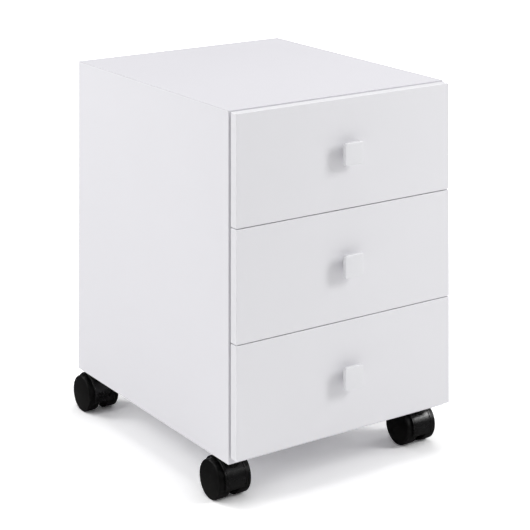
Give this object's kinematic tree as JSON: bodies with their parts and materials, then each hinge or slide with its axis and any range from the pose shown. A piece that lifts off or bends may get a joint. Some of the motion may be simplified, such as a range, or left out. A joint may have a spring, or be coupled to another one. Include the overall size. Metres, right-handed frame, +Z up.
{
  "type": "rolling pedestal cabinet",
  "caption": "Low white office pedestal on swivel casters, with full-width drawers that pull out on roller runners by square knobs.",
  "frame": {"origin": "on the floor, under the middle of the object's outer box at rest, drawers shut and casters trailing back", "axes": "+X to the right seen from the front, +Y from the drawer fronts towards the back, +Z up"},
  "size_m": [0.423, 0.5354, 0.604],
  "materials": {
    "white_board": "satin white melamine on particle board",
    "drawer_board": "matt pale grey melamine on particle board",
    "white_hardboard": "matt white-coated hardboard",
    "plywood": "raw plywood",
    "knob_lacquer": "satin white",
    "zinc_steel": "bright zinc plate",
    "white_steel": "satin white powder coat",
    "roller_plastic": "natural nylon",
    "black_plastic": "satin black moulded plastic",
    "black_nylon": "smooth black moulded nylon"
  },
  "bodies": {
    "cabinet": {"left_side": "white_board", "right_side": "white_board", "top_panel": "white_board", "bottom_panel": "white_board", "back_panel": "white_hardboard", "corner_tongues": "plywood", "cam_locks": "zinc_steel", "cam_bolts": "zinc_steel", "runner_screws": "zinc_steel", "caster_plates": "zinc_steel", "caster_screws": "zinc_steel", "top_track_runners": "white_steel", "middle_track_runners": "white_steel", "bottom_track_runners": "white_steel"},
    "top_drawer": {"top_drawer_front": "white_board", "top_drawer_left_side": "drawer_board", "top_drawer_right_side": "drawer_board", "top_drawer_back": "drawer_board", "top_drawer_bottom": "white_hardboard", "top_knob": "knob_lacquer", "top_knob_screw": "zinc_steel", "top_drawer_runners": "white_steel"},
    "top_track_rollers": {"top_track_rollers": "roller_plastic"},
    "top_drawer_rollers": {"top_drawer_rollers": "roller_plastic"},
    "middle_drawer": {"middle_drawer_front": "white_board", "middle_drawer_left_side": "drawer_board", "middle_drawer_right_side": "drawer_board", "middle_drawer_back": "drawer_board", "middle_drawer_bottom": "white_hardboard", "middle_knob": "knob_lacquer", "middle_knob_screw": "zinc_steel", "middle_drawer_runners": "white_steel"},
    "middle_track_rollers": {"middle_track_rollers": "roller_plastic"},
    "middle_drawer_rollers": {"middle_drawer_rollers": "roller_plastic"},
    "bottom_drawer": {"bottom_drawer_front": "white_board", "bottom_drawer_left_side": "drawer_board", "bottom_drawer_right_side": "drawer_board", "bottom_drawer_back": "drawer_board", "bottom_drawer_bottom": "white_hardboard", "bottom_knob": "knob_lacquer", "bottom_knob_screw": "zinc_steel", "bottom_drawer_runners": "white_steel"},
    "bottom_track_rollers": {"bottom_track_rollers": "roller_plastic"},
    "bottom_drawer_rollers": {"bottom_drawer_rollers": "roller_plastic"},
    "front_left_caster": {"front_left_hood": "black_plastic", "front_left_axle": "zinc_steel"},
    "front_left_outer_wheel": {"front_left_outer_wheel": "black_nylon"},
    "front_left_inner_wheel": {"front_left_inner_wheel": "black_nylon"},
    "front_right_caster": {"front_right_hood": "black_plastic", "front_right_axle": "zinc_steel"},
    "front_right_outer_wheel": {"front_right_outer_wheel": "black_nylon"},
    "front_right_inner_wheel": {"front_right_inner_wheel": "black_nylon"},
    "rear_left_caster": {"rear_left_hood": "black_plastic", "rear_left_axle": "zinc_steel"},
    "rear_left_outer_wheel": {"rear_left_outer_wheel": "black_nylon"},
    "rear_left_inner_wheel": {"rear_left_inner_wheel": "black_nylon"},
    "rear_right_caster": {"rear_right_hood": "black_plastic", "rear_right_axle": "zinc_steel"},
    "rear_right_outer_wheel": {"rear_right_outer_wheel": "black_nylon"},
    "rear_right_inner_wheel": {"rear_right_inner_wheel": "black_nylon"}
  },
  "joints": [
    {"name": "top_drawer_slide", "type": "slide", "parent": "cabinet", "child": "top_drawer", "axis": [0, -1, 0], "range_m": [0, 0.33]},
    {"name": "top_track_rollers_spin", "type": "hinge", "parent": "cabinet", "child": "top_track_rollers", "pos_m": [0, -0.21675, 0.4585], "axis": [1, 0, 0], "continuous": true},
    {"name": "top_drawer_rollers_spin", "type": "hinge", "parent": "top_drawer", "child": "top_drawer_rollers", "pos_m": [0, 0.20525, 0.4565], "axis": [1, 0, 0], "continuous": true},
    {"name": "middle_drawer_slide", "type": "slide", "parent": "cabinet", "child": "middle_drawer", "axis": [0, -1, 0], "range_m": [0, 0.33]},
    {"name": "middle_track_rollers_spin", "type": "hinge", "parent": "cabinet", "child": "middle_track_rollers", "pos_m": [0, -0.21675, 0.284], "axis": [1, 0, 0], "continuous": true},
    {"name": "middle_drawer_rollers_spin", "type": "hinge", "parent": "middle_drawer", "child": "middle_drawer_rollers", "pos_m": [0, 0.20525, 0.282], "axis": [1, 0, 0], "continuous": true},
    {"name": "bottom_drawer_slide", "type": "slide", "parent": "cabinet", "child": "bottom_drawer", "axis": [0, -1, 0], "range_m": [0, 0.33]},
    {"name": "bottom_track_rollers_spin", "type": "hinge", "parent": "cabinet", "child": "bottom_track_rollers", "pos_m": [0, -0.21675, 0.1095], "axis": [1, 0, 0], "continuous": true},
    {"name": "bottom_drawer_rollers_spin", "type": "hinge", "parent": "bottom_drawer", "child": "bottom_drawer_rollers", "pos_m": [0, 0.20525, 0.1075], "axis": [1, 0, 0], "continuous": true},
    {"name": "front_left_swivel", "type": "hinge", "parent": "cabinet", "child": "front_left_caster", "pos_m": [-0.1825, -0.19825, 0.056], "axis": [0, 0, 1], "continuous": true},
    {"name": "front_left_outer_wheel_spin", "type": "hinge", "parent": "front_left_caster", "child": "front_left_outer_wheel", "pos_m": [-0.1825, -0.17925, 0.03], "axis": [1, 0, 0], "continuous": true},
    {"name": "front_left_inner_wheel_spin", "type": "hinge", "parent": "front_left_caster", "child": "front_left_inner_wheel", "pos_m": [-0.1825, -0.17925, 0.03], "axis": [1, 0, 0], "continuous": true},
    {"name": "front_right_swivel", "type": "hinge", "parent": "cabinet", "child": "front_right_caster", "pos_m": [0.1825, -0.19825, 0.056], "axis": [0, 0, 1], "continuous": true},
    {"name": "front_right_outer_wheel_spin", "type": "hinge", "parent": "front_right_caster", "child": "front_right_outer_wheel", "pos_m": [0.1825, -0.17925, 0.03], "axis": [1, 0, 0], "continuous": true},
    {"name": "front_right_inner_wheel_spin", "type": "hinge", "parent": "front_right_caster", "child": "front_right_inner_wheel", "pos_m": [0.1825, -0.17925, 0.03], "axis": [1, 0, 0], "continuous": true},
    {"name": "rear_left_swivel", "type": "hinge", "parent": "cabinet", "child": "rear_left_caster", "pos_m": [-0.1825, 0.21875, 0.056], "axis": [0, 0, 1], "continuous": true},
    {"name": "rear_left_outer_wheel_spin", "type": "hinge", "parent": "rear_left_caster", "child": "rear_left_outer_wheel", "pos_m": [-0.1825, 0.23775, 0.03], "axis": [1, 0, 0], "continuous": true},
    {"name": "rear_left_inner_wheel_spin", "type": "hinge", "parent": "rear_left_caster", "child": "rear_left_inner_wheel", "pos_m": [-0.1825, 0.23775, 0.03], "axis": [1, 0, 0], "continuous": true},
    {"name": "rear_right_swivel", "type": "hinge", "parent": "cabinet", "child": "rear_right_caster", "pos_m": [0.1825, 0.21875, 0.056], "axis": [0, 0, 1], "continuous": true},
    {"name": "rear_right_outer_wheel_spin", "type": "hinge", "parent": "rear_right_caster", "child": "rear_right_outer_wheel", "pos_m": [0.1825, 0.23775, 0.03], "axis": [1, 0, 0], "continuous": true},
    {"name": "rear_right_inner_wheel_spin", "type": "hinge", "parent": "rear_right_caster", "child": "rear_right_inner_wheel", "pos_m": [0.1825, 0.23775, 0.03], "axis": [1, 0, 0], "continuous": true}
  ],
  "couplings": [
    {"joint": "top_track_rollers_spin", "follows": "top_drawer_slide", "rad_per_m": 125},
    {"joint": "top_drawer_rollers_spin", "follows": "top_drawer_slide", "rad_per_m": 125},
    {"joint": "middle_track_rollers_spin", "follows": "middle_drawer_slide", "rad_per_m": 125},
    {"joint": "middle_drawer_rollers_spin", "follows": "middle_drawer_slide", "rad_per_m": 125},
    {"joint": "bottom_track_rollers_spin", "follows": "bottom_drawer_slide", "rad_per_m": 125},
    {"joint": "bottom_drawer_rollers_spin", "follows": "bottom_drawer_slide", "rad_per_m": 125}
  ]
}
